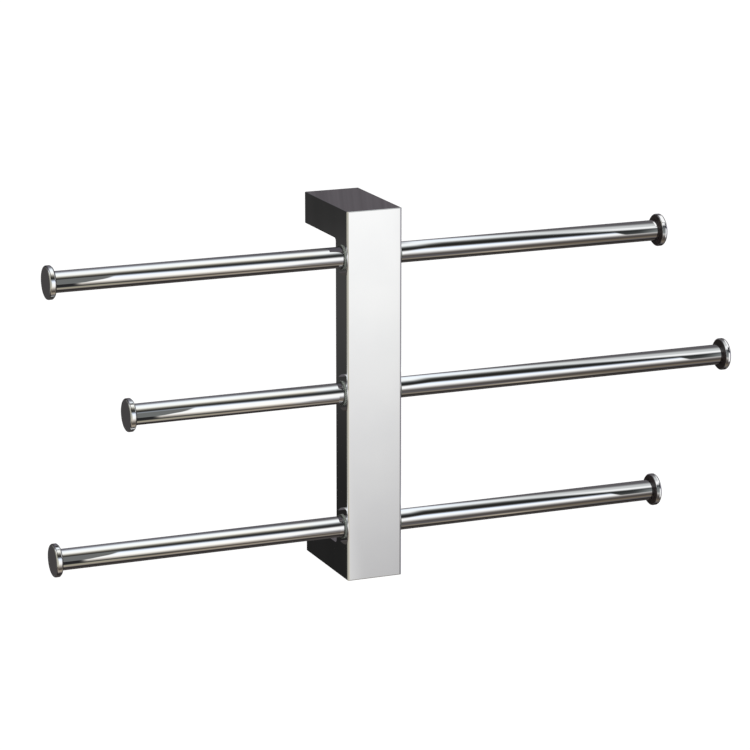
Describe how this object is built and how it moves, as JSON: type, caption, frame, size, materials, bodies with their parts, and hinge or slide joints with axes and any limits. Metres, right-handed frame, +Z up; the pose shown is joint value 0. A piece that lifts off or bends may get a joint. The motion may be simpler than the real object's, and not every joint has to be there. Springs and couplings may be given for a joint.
{
  "type": "wall towel rack with sliding rails",
  "caption": "Wall-mounted towel rack: a bridge-shaped hollow bracket whose post carries straight round rails that slide sideways in plastic bushes and stop on flat end caps.",
  "frame": {"origin": "on the wall, midway between the bracket's two feet", "axes": "+X along the rails, to the right seen from the front; +Y into the wall; +Z up"},
  "size_m": [0.5535, 0.0865, 0.285],
  "materials": {
    "chrome": "polished",
    "plate_steel": "satin",
    "screw_steel": "satin",
    "insert_brass": "satin",
    "bush_plastic": "translucent",
    "washer_rubber": "satin"
  },
  "bodies": {
    "wall_bracket": {"bracket": "chrome", "upper_wall_plate": "plate_steel", "lower_wall_plate": "plate_steel", "grub_screws": "screw_steel", "top_left_bush": "bush_plastic", "top_right_bush": "bush_plastic", "middle_left_bush": "bush_plastic", "middle_right_bush": "bush_plastic", "bottom_left_bush": "bush_plastic", "bottom_right_bush": "bush_plastic"},
    "top_sliding_rail": {"top_rail": "chrome", "top_left_cap": "chrome", "top_right_cap": "chrome", "top_left_washer": "washer_rubber", "top_right_washer": "washer_rubber", "top_left_insert": "insert_brass", "top_right_insert": "insert_brass", "top_studs": "screw_steel"},
    "middle_sliding_rail": {"middle_rail": "chrome", "middle_left_cap": "chrome", "middle_right_cap": "chrome", "middle_left_washer": "washer_rubber", "middle_right_washer": "washer_rubber", "middle_left_insert": "insert_brass", "middle_right_insert": "insert_brass", "middle_studs": "screw_steel"},
    "bottom_sliding_rail": {"bottom_rail": "chrome", "bottom_left_cap": "chrome", "bottom_right_cap": "chrome", "bottom_left_washer": "washer_rubber", "bottom_right_washer": "washer_rubber", "bottom_left_insert": "insert_brass", "bottom_right_insert": "insert_brass", "bottom_studs": "screw_steel"}
  },
  "joints": [
    {"name": "top_rail_slide", "type": "slide", "parent": "wall_bracket", "child": "top_sliding_rail", "axis": [1, 0, 0], "range_m": [-0.2155, 0.2225]},
    {"name": "middle_rail_slide", "type": "slide", "parent": "wall_bracket", "child": "middle_sliding_rail", "axis": [1, 0, 0], "range_m": [-0.274, 0.164]},
    {"name": "bottom_rail_slide", "type": "slide", "parent": "wall_bracket", "child": "bottom_sliding_rail", "axis": [1, 0, 0], "range_m": [-0.2155, 0.2225]}
  ]
}
